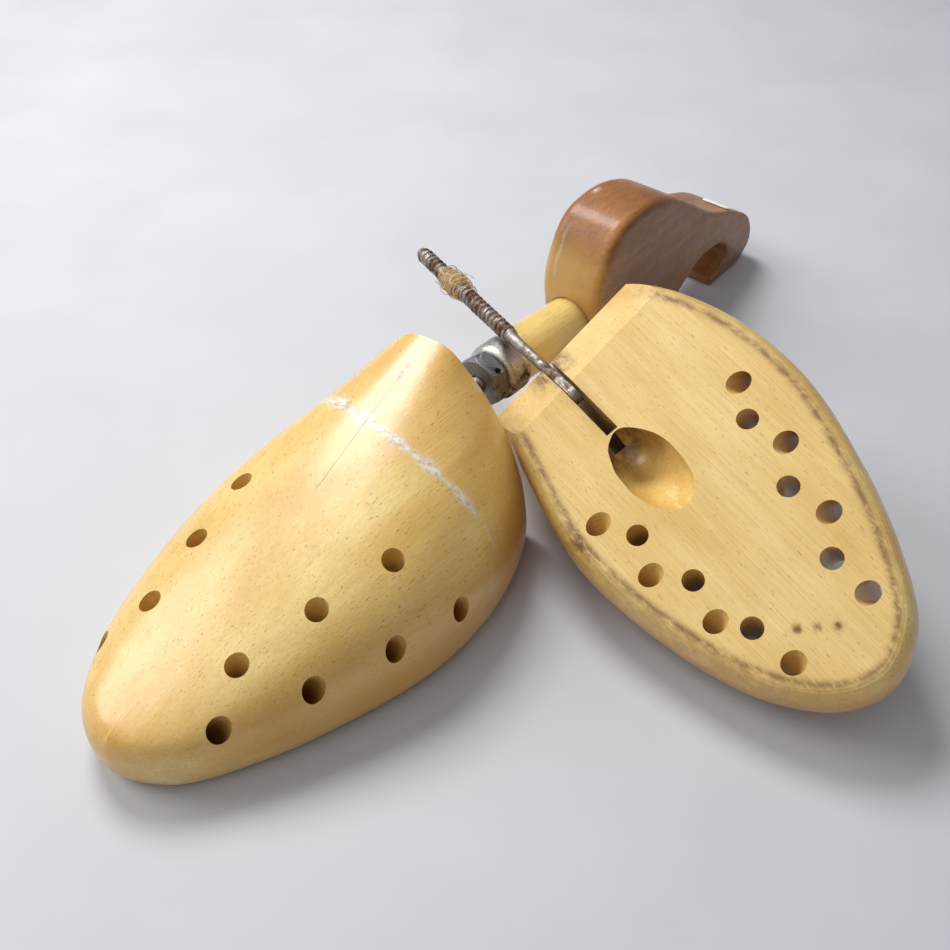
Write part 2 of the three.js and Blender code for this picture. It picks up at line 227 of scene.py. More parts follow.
class Nodes:
    """A material's node tree, with short calls for the nodes used here."""

    def __init__(self, name):
        self.material = bpy.data.materials.new(name)
        self.material.use_nodes = True
        self.tree = self.material.node_tree
        self.shader = self.tree.nodes["Principled BSDF"]
        self.shader.inputs["IOR"].default_value = 1.5

    def add(self, kind, **settings):
        node = self.tree.nodes.new(kind)
        for key, value in settings.items():
            setattr(node, key, value)
        return node

    def link(self, source, target):
        self.tree.links.new(source, target)

    def coordinates(self, stretch=(1, 1, 1)):
        """The piece's own coordinates in millimetres, divided by the stretch on each axis."""
        place_node = self.add("ShaderNodeAttribute", attribute_name="local")
        mapping = self.add("ShaderNodeMapping")
        mapping.inputs["Scale"].default_value = [1 / (MM * s) for s in stretch]
        self.link(place_node.outputs["Vector"], mapping.inputs["Vector"])
        return mapping.outputs["Vector"]

    def noise(self, stretch, detail=3, roughness=0.55, distortion=0.0):
        node = self.add("ShaderNodeTexNoise")
        node.inputs["Scale"].default_value = 1
        node.inputs["Detail"].default_value = detail
        node.inputs["Roughness"].default_value = roughness
        node.inputs["Distortion"].default_value = distortion
        self.link(self.coordinates(stretch), node.inputs["Vector"])
        return node.outputs["Fac"]

    def ramp(self, value, low, high, start=0.0, end=1.0):
        """Map value from low..high to start..end, clamped."""
        node = self.add("ShaderNodeMapRange")
        for socket, number in (("From Min", low), ("From Max", high), ("To Min", start), ("To Max", end)):
            node.inputs[socket].default_value = number
        self.link(value, node.inputs["Value"])
        return node.outputs["Result"]

    def math(self, operation, first, second):
        node = self.add("ShaderNodeMath", operation=operation)
        for socket, value in zip(node.inputs, (first, second)):
            if isinstance(value, (int, float)):
                socket.default_value = value
            else:
                self.link(value, socket)
        return node.outputs["Value"]

    def mix(self, amount, first, second, blend="MIX"):
        node = self.add("ShaderNodeMix", data_type="RGBA", blend_type=blend)
        for socket, value in ((node.inputs[0], amount), (node.inputs[6], first), (node.inputs[7], second)):
            if isinstance(value, (int, float)):
                socket.default_value = value
            elif isinstance(value, tuple):
                socket.default_value = (*value, 1)
            else:
                self.link(value, socket)
        return node.outputs[2]

    def attribute(self, name):
        return self.add("ShaderNodeAttribute", attribute_name=name).outputs["Fac"]

    def bump(self, height, strength, distance):
        node = self.add("ShaderNodeBump")
        node.inputs["Strength"].default_value = strength
        node.inputs["Distance"].default_value = distance
        self.link(height, node.inputs["Height"])
        self.link(node.outputs["Normal"], self.shader.inputs["Normal"])

    def surface(self, color, roughness, metallic=0.0):
        for socket, value in (("Base Color", color), ("Roughness", roughness), ("Metallic", metallic)):
            if isinstance(value, (int, float)):
                self.shader.inputs[socket].default_value = value
            else:
                self.link(value, self.shader.inputs[socket])
        return self.material


# ------------------------------------------------------------------ wood


def beech(name, pale, deep, gloss, grain=1.0, fleck=0.75, dirt_and_shade_tone=(0.20, 0.085, 0.028)):
    """Beech with its grain along x: soft rings, fine lines, and the short dark flecks of its rays.

    Vertex attributes add to it: dirt_and_shade (brown, for real dirt and for painted shade), glue (white
    residue), warm (amber tint) and pale (lighter wood). One that a mesh doesn't have reads as 0.
    """
    n = Nodes(name)
    broad = n.noise((42, 16, 16), detail=4)
    rings = n.noise((150, 5.5, 4.5), detail=2, distortion=0.4)
    lines = n.noise((26, 0.5, 0.5), detail=4, roughness=0.7)
    rays = n.noise((2.6, 0.42, 0.42), detail=1)
    pores = n.noise((0.9, 0.22, 0.22), detail=1)
    color = n.mix(n.ramp(broad, 0.33, 0.68), pale, deep)
    color = n.mix(n.ramp(rings, 0.50, 0.62, 0, 0.34 * grain), color, deep)
    color = n.mix(n.ramp(lines, 0.42, 0.75, 0, 0.42 * grain), color, tuple(0.62 * c for c in deep))
    color = n.mix(n.ramp(rays, 0.66, 0.74, 0, fleck), color, tuple(0.30 * c for c in deep))
    amber = n.math("MULTIPLY", n.attribute("warm"), n.ramp(broad, 0.3, 0.6, 0.45, 0.95))
    color = n.mix(amber, color, (0.70, 0.33, 0.045))
    end_grain = n.math("MULTIPLY", n.attribute("pale"), n.ramp(broad, 0.25, 0.55, 0.35, 0.85))
    color = n.mix(end_grain, color, (0.70, 0.45, 0.15))
    # One brown mixes in both real dirt and painted shade.
    blotches = n.noise((5, 3, 3), detail=5, roughness=0.7)
    dirt_and_shade_amount = n.math("MULTIPLY", n.attribute("dirt_and_shade"), n.ramp(blotches, 0.30, 0.56))
    color = n.mix(dirt_and_shade_amount, color, dirt_and_shade_tone)
    broken = n.noise((1.3, 2.2, 2.2), detail=5, roughness=0.75)
    residue = n.math("MULTIPLY", n.attribute("glue"), n.ramp(broken, 0.36, 0.52))
    color = n.mix(residue, color, (0.86, 0.84, 0.76))
    scuffs = n.ramp(n.noise((9, 9, 9), detail=5, roughness=0.7), 0.35, 0.7, gloss - 0.05, gloss + 0.16)
    rough = n.math("MAXIMUM", scuffs, n.math("MULTIPLY", residue, 0.7))
    raised = n.math("ADD", n.math("MULTIPLY", residue, 1.2), n.ramp(lines, 0.3, 0.8, 0, 0.18))
    height = n.math("SUBTRACT", raised, n.ramp(pores, 0.62, 0.75, 0, 0.25))
    n.bump(height, 0.55, 0.35 * MM)
    return n.surface(color, rough)


def coat(material, weight, roughness):
    """A lacquer layer over the wood."""
    shader = material.node_tree.nodes["Principled BSDF"]
    shader.inputs["Coat Weight"].default_value = weight
    shader.inputs["Coat Roughness"].default_value = roughness
    return material


# ------------------------------------------------------------------ steel


def old_steel(name, clean, rust, rust_from, rust_to, roughness):
    """Dull steel with rust where a cloudy noise passes rust_from..rust_to, and black pits. A vertex attribute
    for a painted highlight keeps rust off where it is set.
    """
    n = Nodes(name)
    cloud = n.noise((4.5, 4.5, 4.5), detail=6, roughness=0.72)
    speck = n.noise((0.7, 0.7, 0.7), detail=4, roughness=0.7)
    pits = n.noise((0.35, 0.35, 0.35), detail=2)
    # Painted highlight: no rust, so bare bright metal, where the attribute is set.
    outside_painted_highlight = n.math("SUBTRACT", 1, n.attribute("painted_highlight"))
    rusty = n.math("MULTIPLY", n.ramp(cloud, rust_from, rust_to), outside_painted_highlight)
    brown = n.mix(n.ramp(speck, 0.35, 0.65), rust, tuple(0.35 * c for c in rust))
    metal = n.mix(n.ramp(speck, 0.3, 0.7), clean, tuple(0.55 * c for c in clean))
    color = n.mix(rusty, metal, brown)
    rough = n.ramp(rusty, 0, 1, roughness, 0.82)
    metallic = n.ramp(rusty, 0, 1, 1.0, 0.15)
    height = n.math("ADD", n.math("MULTIPLY", rusty, 0.5), n.ramp(pits, 0.3, 0.6, 0, 0.6))
    n.bump(height, 0.6, 0.15 * MM)
    return n.surface(color, rough, metallic)


lacquered = coat(beech("lacquered_beech", (0.93, 0.69, 0.25), (0.78, 0.47, 0.115), 0.36), 0.7, 0.24)
bare = beech("bare_beech", (0.92, 0.67, 0.27), (0.78, 0.51, 0.16), 0.55, grain=1.1, fleck=0.55)
pale_lacquered = coat(beech("pale_beech", (0.95, 0.76, 0.31), (0.84, 0.60, 0.18), 0.34, fleck=0.4), 0.6, 0.25)
rod_steel = old_steel("rod_steel", (0.50, 0.46, 0.41), (0.17, 0.070, 0.030), 0.42, 0.60, 0.36)
nut_steel = old_steel("nut_steel", (0.30, 0.30, 0.29), (0.11, 0.050, 0.026), 0.56, 0.70, 0.42)


def worn_beech():
    """The heel block's wood: amber brown where hands held it, pale end grain low on the lobe."""
    material = beech("worn_beech", (0.50, 0.21, 0.050), (0.26, 0.088, 0.018), 0.44, grain=1.6, fleck=0.7)
    return coat(material, 0.25, 0.22)


def ferrule_metal():
    """Pressed steel with dark rust below and bare bright metal on top, a painted highlight."""
    return old_steel("ferrule_steel", (0.80, 0.77, 0.72), (0.13, 0.048, 0.022), 0.36, 0.56, 0.26)


# ------------------------------------------------------------------ forepart

bulge_height = 9
sole_inset = 5.5
whole_build = {"instep_height": 57, "inner_fullness": 2.5}
loose_build = {"instep_height": 52.5, "inner_fullness": 2.2}
crest_slope = 0.26
crest_curl = 3.3e-6
toe_centre_x = 112  # the toe is domed about this point of the spine
outline_points = [
    (129, 7), (122, 22), (104, 34), (80, 44), (50, 51.3), (20, 49), (-4, 38),
    (-22, 12), (-8, -19), (14, -25.5), (50, -32.8), (84, -28.8), (110, -19.5), (125, -6.5),
]
vent_radius = 3.1
vent_rows = [
    {"start": (52.3, 29.2), "end": (95.9, 17.8), "count": 3, "bow": 0, "splay": (10, 10)},
    {"start": (56.9, -15.0), "end": (96.0, -9.7), "count": 3, "bow": 0, "splay": (-2, -2)},
    {"start": (42.5, 35.0), "end": (108.3, 17.9), "count": 4, "bow": 2.8, "splay": (37, 28)},
    {"start": (47.1, -20.8), "end": (109.3, -8.1), "count": 4, "bow": -3.6, "splay": (-37, -28)},
]
slot_width = 4
slot_end_x = 28.7
slot_ceiling = 37
hollow_radius = 8.7
hollow_middle = Vector((44.7, 0.6, 0))
hollow_tilt = math.radians(35)
hollow_reach = 14
rear_cut = {"x": -3.3, "yaw": math.radians(6), "lean": math.radians(2.5)}
rear_bevel = {"length": 11, "angle": math.radians(19)}


def forepart_blank(name, build):
    """Flat sole, rounded edge and arched upper, before anything is cut."""
    around = 360
    outline = closed_spline(outline_points, around)
    spine_x = np.clip(outline[:, 0], -20, toe_centre_x)
    spine_y = -2 + 9.5 * np.clip((spine_x + 10) / 67, 0, 1)
    spine = np.stack([spine_x, spine_y], axis=1)
    inward = spine - outline
    inward /= np.linalg.norm(inward, axis=1)[:, None]
    wide_power = 1.6 + 1.2 * np.clip((spine_x + 10) / 65, 0, 1)
    power = np.where(outline[:, 1] > spine[:, 1], wide_power, build["inner_fullness"])
    crest = build["instep_height"] - crest_slope * spine_x - crest_curl * spine_x**3

    toe_fall = crest_slope + 3 * crest_curl * toe_centre_x**2  # the crest's slope where the dome starts

    rings = []
    sole_edge = outline + inward * sole_inset
    for reach in (0.003, *np.linspace(0.03, 0.85, 26), *np.linspace(0.87, 0.99, 10)):
        rings.append(np.column_stack([spine + (sole_edge - spine) * reach, np.zeros(around)]))
    for angle in np.linspace(0, math.pi / 2, 10):
        edge = outline + inward * sole_inset * (1 - math.sin(angle))
        height = np.full(around, bulge_height * (1 - math.cos(angle)))
        rings.append(np.column_stack([edge, height]))
    arch = [math.cos(turn) for turn in np.linspace(0, math.pi / 2, 46)[1:-1]]
    for reach in (*arch, 0.015, 0.002):
        softened = power + np.maximum(2.3 - power, 0) * smoothstep(0.4, 0, reach)  # no ridge on the crest
        rise = (1 - reach**softened) ** (1 / softened)
        plan = spine + (outline - spine) * reach
        dip = toe_fall * (plan[:, 0] - spine_x) * (1 - reach)
        rings.append(np.column_stack([plan, bulge_height + (crest - bulge_height) * rise - dip]))
    points = np.concatenate(rings) * MM
    obj = mesh_object(name, points, skin_faces(len(rings), around))
    shape = bmesh.new()
    shape.from_mesh(obj.data)
    bmesh.ops.triangulate(shape, faces=[face for face in shape.faces if len(face.verts) > 4])
    shape.to_mesh(obj.data)
    shape.free()
    return obj


def half_space(lean, x):
    """A big block whose +x face is the cutting plane through (x, 5) at the sole."""
    size = 160 * MM
    mesh = bpy.data.meshes.new("cutter")
    block = bmesh.new()
    bmesh.ops.create_cube(block, size=size)
    bmesh.ops.subdivide_edges(block, edges=block.edges, cuts=60, use_grid_fill=True)
    bmesh.ops.translate(block, verts=block.verts, vec=(-size / 2, 0, 0))
    block.to_mesh(mesh)
    block.free()
    obj = bpy.data.objects.new("cutter", mesh)
    bpy.context.scene.collection.objects.link(obj)
    obj.matrix_world = (
        Matrix.Translation(Vector((x, 5, 0)) * MM)
        @ Matrix.Rotation(rear_cut["yaw"], 4, "Z")
        @ Matrix.Rotation(-lean, 4, "Y")
    )
    return obj


def drill(start, end, radius, segments=40):
    """A cylinder from one point to another, in millimetres, used as a cutter."""
    start, end = Vector(start) * MM, Vector(end) * MM
    radius = radius * MM
    depth = (end - start).length
    mesh = bpy.data.meshes.new("cutter")
    tool = bmesh.new()
    bmesh.ops.create_cone(
        tool, cap_ends=True, segments=segments, radius1=radius, radius2=radius, depth=depth
    )
    tool.to_mesh(mesh)
    tool.free()
    obj = bpy.data.objects.new("cutter", mesh)
    bpy.context.scene.collection.objects.link(obj)
    turn = (end - start).to_track_quat("Z", "Y").to_matrix().to_4x4()
    obj.matrix_world = Matrix.Translation((start + end) / 2) @ turn
    return obj


def vent_lines():
    """Start and end of every vent hole's axis."""
    for row in vent_rows:
        for i in range(row["count"]):
            along = i / (row["count"] - 1)
            x = row["start"][0] + (row["end"][0] - row["start"][0]) * along
            y = row["start"][1] + (row["end"][1] - row["start"][1]) * along
            y += row["bow"] * math.sin(math.pi * along)
            first, last = row["splay"]
            drift = math.tan(math.radians(first + (last - first) * along))
            yield (x, y - 5 * drift, -5), (x, y + 80 * drift, 80)


def slot_cutter():
    back = -25
    low = Vector((back, -slot_width / 2, -5)) * MM
    high = Vector((slot_end_x, slot_width / 2, slot_ceiling)) * MM
    points = [(x, y, z) for x in (low.x, high.x) for y in (low.y, high.y) for z in (low.z, high.z)]
    faces = [(0, 1, 3, 2), (4, 6, 7, 5), (0, 4, 5, 1), (2, 3, 7, 6), (0, 2, 6, 4), (1, 5, 7, 3)]
    return mesh_object("cutter", points, faces, smooth=False)


def hollow_cutter():
    """A round-nosed gouge's path, with slight chatter from the tool."""
    around = 48
    rings = []
    nose = np.linspace(0.04, math.pi / 2, 14)
    stations = [(-math.cos(a), math.sin(a)) for a in nose]
    stations += [(s, 1.0) for s in np.linspace(0.25, 4.5, 18)]
    angles = np.linspace(0, 2 * math.pi, around, endpoint=False)
    for along, reach in stations:
        chatter = 1 + 0.018 * np.sin(3 * angles + 2.1 * along) + 0.010 * np.sin(7 * angles - 4.0 * along)
        radius = hollow_radius * reach * chatter
        x = np.full(around, along * hollow_radius)
        rings.append(np.column_stack([x, radius * np.cos(angles), radius * np.sin(angles)]))
    points = np.concatenate(rings)
    points[:, 0] -= hollow_reach
    obj = mesh_object("cutter", points * MM, skin_faces(len(rings), around))
    obj.matrix_world = Matrix.Translation(hollow_middle * MM) @ Matrix.Rotation(hollow_tilt, 4, "Y")
    return obj


def split_sole(obj, sole_material):
    """The sole and the rear face are bare wood; the upper keeps the first material."""
    obj.data.materials.append(sole_material)
    for face in obj.data.polygons:
        flat_sole = face.normal.z < -0.8 and face.center.z < 6 * MM
        rear = face.normal.x < -0.75 and face.center.x < 5 * MM
        inside = not face.use_smooth
        if flat_sole or rear or inside:
            face.material_index = 1
        if flat_sole or rear:
            face.use_smooth = False


def forepart(name, build):
    """A whole forepart with its vents, slot and hollow, in its last frame."""
    obj = forepart_blank(name, build)
    for face in obj.data.polygons:
        face.use_smooth = True
    cutters = [half_space(rear_cut["lean"], rear_cut["x"])]
    cutters.append(half_space(math.pi / 2 - rear_bevel["angle"], rear_cut["x"] + rear_bevel["length"]))
    cutters += [drill(start, end, vent_radius) for start, end in vent_lines()]
    cutters += [slot_cutter(), hollow_cutter()]
    cut(obj, cutters)
    return obj


def inside_outline(points):
    """How far inside the widest outline each point lies, seen from above, in millimetres."""
    edge = closed_spline(outline_points, 400)
    plan = points[:, None, :2] - edge[None, :, :]
    return np.sqrt((plan**2).sum(axis=2).min(axis=1))


def edge_marks(points, width):
    """Brown dirt along the edge of the sole, as a number per vertex."""
    off_edge = inside_outline(points) - sole_inset
    return np.exp(-((off_edge / width) ** 2)) * smoothstep(3, 0.3, np.abs(points[:, 2]))


def whole_forepart():
    obj = forepart("forepart_wood", whole_build)
    obj.data.materials.append(lacquered)
    split_sole(obj, bare)
    p = vertices_mm(obj)
    upper = smoothstep(6, 12, p[:, 2])
    worn_line_x = 26.5 - 0.0035 * (p[:, 1] - 15) ** 2
    half_width = 0.75 + 0.02 * (40 - p[:, 1]) + 0.45 * np.sin(0.55 * p[:, 1])
    line = np.exp(-((p[:, 0] - worn_line_x) / half_width) ** 2)
    line *= 1.2 * smoothstep(-26, -8, p[:, 1]) * smoothstep(50, 40, p[:, 1])
    fleck = spot(p, -6.1, 16.9, 1.5, 0.9)
    paint(obj, "glue", np.clip(upper * line + fleck, 0, 1))
    behind_line = smoothstep(28, 22, p[:, 0])
    toward_toe = smoothstep(85, 128, p[:, 0])
    # Partly the wood's amber, partly painted light: the lower right flank is tinted more strongly to stand
    # for how that side is lit.
    painted_light_flank = smoothstep(34, 14, p[:, 2]) * smoothstep(20, 40, p[:, 1])
    paint(obj, "warm", np.clip(0.30 * behind_line + 0.5 * toward_toe + 0.75 * painted_light_flank, 0, 1))
    scratch_y = 0.15 * p[:, 0] - 0.4
    scratch = upper * np.exp(-((p[:, 1] - scratch_y) / 0.7) ** 2)
    scratch *= smoothstep(3.5, 5.5, p[:, 0]) * smoothstep(12.5, 10.5, p[:, 0])
    paint(obj, "dirt_and_shade", np.clip(0.5 * edge_marks(p, 1.1) + scratch, 0, 1))
    return place(obj, last_frame, "whole_forepart", "lacquered_beech", "forepart")


# Three small dark dots, painted on the sole in place of its size mark (x, y in millimetres).
size_dots = [(103.5, -1.5), (106.5, 2.5), (109.5, 6.5)]


def loose_forepart():
    """The other foot's forepart: the same piece mirrored, so that its sole faces up."""
    obj = forepart("second_forepart_wood", loose_build)
    obj.data.materials.append(lacquered)
    split_sole(obj, bare)
    obj.data.transform(Matrix.Diagonal((1, 1, -1, 1)))
    obj.data.flip_normals()
    p = vertices_mm(obj) * (1, 1, -1)
    gouge = spot(p, 48.7, -28.4, 4.5, 1.4)
    brown_side = 0.22 * smoothstep(9, 2, inside_outline(p)) * smoothstep(10, 30, p[:, 1])
    brown_side += 0.30 * smoothstep(7, 3, inside_outline(p)) * smoothstep(0, -20, p[:, 1])
    hollow_shade = 0.8 * smoothstep(37, 30, p[:, 0]) * smoothstep(0.5, 2.5, p[:, 2])
    hollow_shade *= smoothstep(9, 6, np.abs(p[:, 1]))
    # Painted shade: darker along the slot and inside it.
    painted_slot_shade = np.exp(-((np.abs(p[:, 1]) / 3.2) ** 2)) * smoothstep(30, 24, p[:, 0]) * 0.45
    paint(obj, "warm", smoothstep(0.5, 7, p[:, 2]) * smoothstep(14, 6, inside_outline(p)))
    dots = sum(spot(p, x, y, 0.9, 0.9) for x, y in size_dots)
    # Real marks and dots, summed with the painted shade of the hollow and the slot.
    marks_and_shade = 0.75 * edge_marks(p, 1.1) + 1.6 * gouge + brown_side + painted_slot_shade + hollow_shade + 2.5 * dots
    paint(obj, "dirt_and_shade", np.clip(marks_and_shade, 0, 1))
    return place(obj, loose_frame, "loose_forepart", "raw_beech", "second_forepart")


# ------------------------------------------------------------------ rods

shank_radius = 1.7
thread_start = 35
thread_turns = 24
thread_pitch = 2.42
thread_crest = 2.8
thread_root = 2.2
tang = {"half_height": 3.0, "thickness": 3.2, "length": 12}
eye_radius = 1.6


def screw(name):
    """Shank, helical rolled thread and blunt end, as one skin."""
    around = 28
    thread_end = thread_start + thread_turns * thread_pitch
    stations = np.concatenate([
        np.linspace(8, thread_start - 4, 12),
        np.arange(thread_start - 3.5, thread_end + 0.6, thread_pitch / 11),
    ])
    angles = np.linspace(0, 2 * math.pi, around, endpoint=False)
    rings = []
    for x in stations:
        swell = smoothstep(thread_start - 4, thread_start + 1.5, x)
        fade = smoothstep(thread_start - 2, thread_start + 2, x)
        fade *= smoothstep(thread_end + 0.6, thread_end - 1.2, x)
        wave = 0.5 + 0.5 * np.cos(2 * math.pi * x / thread_pitch - angles)
        crest = smoothstep(0.08, 0.85, wave)
        wear = 1 - 0.05 * np.sin(0.9 * x) * np.sin(0.37 * x + angles)
        core = shank_radius + (thread_root - shank_radius) * swell
        radius = core + (thread_crest - thread_root) * crest * fade * wear
        across = [radius * np.cos(angles), radius * np.sin(angles)]
        rings.append(np.column_stack([np.full(around, x), *across]))
    for beyond, shrink in ((0.35, 0.93), (0.7, 0.93), (0.9, 0.736)):
        x = np.full(around, thread_end + 0.6 + beyond)
        rings.append(np.column_stack([x, rings[-1][:, 1:] * shrink]))
    points = np.concatenate(rings) * MM
    obj = mesh_object(name, points, skin_faces(len(rings), around))
    obj.data.materials.append(rod_steel)
    return obj


def tang_end(name):
    """The flattened eye that the hinge pin passes through."""
    outline = []
    half = tang["half_height"]
    for angle in np.linspace(math.pi / 2, 1.5 * math.pi, 17):
        outline.append((half * math.cos(angle), half * math.sin(angle)))
    end = tang["length"]
    outline += [(end - 3, -half), (end, -shank_radius), (end, shank_radius), (end - 3, half)]
    side = tang["thickness"] / 2
    rings = [[(x, y, z) for x, z in outline] for y in (side, -side)]
    points = np.array(rings).reshape(-1, 3) * MM
    obj = mesh_object(name, points, skin_faces(2, len(outline)), smooth=False)
    cut(obj, [drill((0, -5, 0), (0, 5, 0), eye_radius)])
    bevel = obj.modifiers.new("bevel", "BEVEL")
    bevel.width = 0.35 * MM
    bevel.segments = 3
    apply_modifiers(obj)
    obj.data.materials.append(rod_steel)
    return obj


def make_rod(name, matrix, body, node):
    place(screw(name), matrix, body, "rusty_steel", node)
    place(tang_end(name + "_tang"), matrix, body, "rusty_steel")


# ------------------------------------------------------------------ heel unit

nut_front = 49
nut_length = 6.4
ferrule_front = nut_front + nut_length + 0.3
ferrule_end = ferrule_front + 9.4
ferrule_radius = 9.6
ferrule_wall = 0.9
neck_end = 103
tenon_radius = 6
tenon_end = 141
rod_bore_radius = 3.1
rod_bore_end = 113
cross_pin = 133
cross_bore_radius = 2.0
fit = 0.25  # clearance between wooden pieces
heel_width = 24
heel_round = 3.5
foot_round = 1
heel_points = [
    (-84, 12), (-78.5, 24), (-77, 42), (-86, 58.5), (-101, 62), (-118, 58.5), (-137, 47.5), (-154, 36.5),
    (-174, 28), (-187, 19), (-191, 8), (-184, 1), (-172, 0.6), (-161, 0.8), (-160.5, 3.6), (-167, 5.5),
    (-171.5, 11), (-165, 17.5), (-150, 18.5), (-140.5, 14.5), (-131, 10.5), (-108, 9),
]


def on_rod(distance):
    """The point at this distance behind the pivot on the rod's line, in the last frame."""
    return pivot / MM - distance * Vector((math.cos(rod_droop), 0, math.sin(rod_droop)))


def heel_block():
    """The side outline carried across the block, with long edges rounded less towards the tail."""
    count = 300
    outline = closed_spline(heel_points, count)
    tangent = np.roll(outline, -1, axis=0) - np.roll(outline, 1, axis=0)
    inward = np.column_stack([-tangent[:, 1], tangent[:, 0]])
    inward /= np.linalg.norm(inward, axis=1)[:, None]
    toward_tail = np.clip((-outline[:, 0] - 120) / 60, 0, 1)
    rounding = heel_round + (foot_round - heel_round) * toward_tail
    rounding = rounding + (foot_round - rounding) * smoothstep(16, 12, outline[:, 1])
    rings = []
    quarter_turn = np.linspace(0, math.pi / 2, 9)
    for side in (1, -1):
        for angle in quarter_turn[::-side]:
            edge = outline + inward * (rounding * (1 - math.cos(angle)))[:, None]
            across = side * (heel_width / 2 - rounding * (1 - math.sin(angle)))
            rings.append(np.column_stack([edge[:, 0], across, edge[:, 1]]))
        if side > 0:
            for share in np.linspace(0.97, -0.97, 49):
                across = share * (heel_width / 2 - rounding)
                rings.append(np.column_stack([outline[:, 0], across, outline[:, 1]]))
    obj = mesh_object("heel_wood", np.concatenate(rings) * MM, skin_faces(len(rings), count))
    socket = drill(on_rod(80), on_rod(neck_end + fit), 8.1 + fit, 80)
    mortise = drill(on_rod(90), on_rod(tenon_end + fit), tenon_radius + fit)
    pin = on_rod(cross_pin)
    side = Vector((0, 20, 0))
    cut(obj, [socket, mortise, drill(pin - side, pin + side, cross_bore_radius)])
    obj.data.materials.append(worn_beech())
    p = vertices_mm(obj)
    nose = smoothstep(-92, -78, p[:, 0]) * smoothstep(58, 44, p[:, 2])
    crack_y = -6.8 + 0.25 * np.sin(0.8 * p[:, 2])
    crack = np.exp(-((p[:, 1] - crack_y) / 0.55) ** 2)
    crack *= smoothstep(-86, -80, p[:, 0]) * smoothstep(38, 43, p[:, 2])
    fleck = spot(p, -100.9, -7.8, 1.6, 0.8) * smoothstep(55, 60, p[:, 2])
    paint(obj, "glue", np.clip(fleck + 0.35 * crack, 0, 1))
    paint(obj, "pale", nose)
    # Painted shade: the flat sides and the walls of the finger gap are darkened.
    painted_shade_sides = smoothstep(10, 11.8, np.abs(p[:, 1]))
    painted_gap_shade = smoothstep(-150, -160, p[:, 0]) * smoothstep(18, 12, p[:, 2])
    paint(obj, "dirt_and_shade", np.clip(0.45 * painted_shade_sides + 0.5 * painted_gap_shade, 0, 1))
    return place(obj, last_frame, "heel", "worn_beech", "heel_block")


def turned(name, profile, around, material, tube=False):
    """A skin of revolution about the rod's line from [distance, radius] pairs.

    A tube's profile goes round to where it started; any other profile is closed by flat ends.
    """
    angles = np.linspace(0, 2 * math.pi, around, endpoint=False)
    rings = [
        np.column_stack([np.full(around, x), r * np.cos(angles), r * np.sin(angles)]) for x, r in profile
    ]
    faces = skin_faces(len(rings), around, close_ends=not tube)
    if tube:
        last = (len(rings) - 1) * around
        for k in range(around):
            after = (k + 1) % around
            faces.append((last + k, last + after, after, k))
    obj = mesh_object(name, np.concatenate(rings) * MM, faces)
    obj.data.materials.append(material)
    return obj


def ferrule():
    """A drawn cup with a rolled front edge and a shallow swage line."""
    profile = [(ferrule_front, rod_bore_radius), (ferrule_front, 7.4)]
    for angle in np.linspace(0, math.pi / 2, 9)[1:]:
        along = ferrule_front + 2.2 * (1 - math.cos(angle))
        profile.append((along, 7.4 + (ferrule_radius - 7.4) * math.sin(angle)))
    for x in np.linspace(ferrule_front + 2.8, ferrule_end - 0.4, 20):
        groove = 0.28 * math.exp(-(((x - ferrule_end + 2.4) / 0.45) ** 2))
        profile.append((x, ferrule_radius - groove))
    inner = ferrule_radius - ferrule_wall
    profile += [(ferrule_end, ferrule_radius - 0.2), (ferrule_end, inner)]
    profile += [(ferrule_front + ferrule_wall, inner), (ferrule_front + ferrule_wall, rod_bore_radius)]
    obj = turned("ferrule_cup", profile, 96, ferrule_metal(), tube=True)
    p = vertices_mm(obj)
    # Painted highlight: the top and front of the cup are kept bare and bright.
    painted_highlight_top = smoothstep(1, 7, p[:, 2] + 0.25 * (ferrule_front + 5 - p[:, 0]))
    paint(obj, "painted_highlight", 0.92 * painted_highlight_top)
    return place(obj, rod_frame, "heel", "ferrule_steel", "ferrule")


def neck():
    """A turned barrel with faint tool rings, bored for the rod, and its tenon."""
    start = ferrule_end + 0.3
    spigot_front = ferrule_front + ferrule_wall + fit
    profile = [(spigot_front, 0.5), (spigot_front, 8.3), (start, 8.3), (start, 8.4)]
    for x in np.linspace(start + 0.4, neck_end, 60):
        swell = math.exp(-(((x - start - 11) / 13) ** 2))
        profile.append((x, 8.0 + 0.9 * swell + 0.025 * math.sin(2.6 * x)))
    profile += [(neck_end, tenon_radius), (tenon_end, tenon_radius), (tenon_end, 0.5)]
    obj = turned("neck_wood", profile, 80, pale_lacquered)
    bore = drill((spigot_front - 5, 0, 0), (rod_bore_end, 0, 0), rod_bore_radius)
    cross_bore = drill((cross_pin, -9, 0), (cross_pin, 9, 0), cross_bore_radius)
    cut(obj, [bore, cross_bore])
    p = vertices_mm(obj)
    # Painted shade: darker towards the end that goes into the heel block.
    paint(obj, "dirt_and_shade", 0.6 * smoothstep(neck_end - 8, neck_end, p[:, 0]))
    return place(obj, rod_frame, "heel", "pale_beech", "turned_neck")


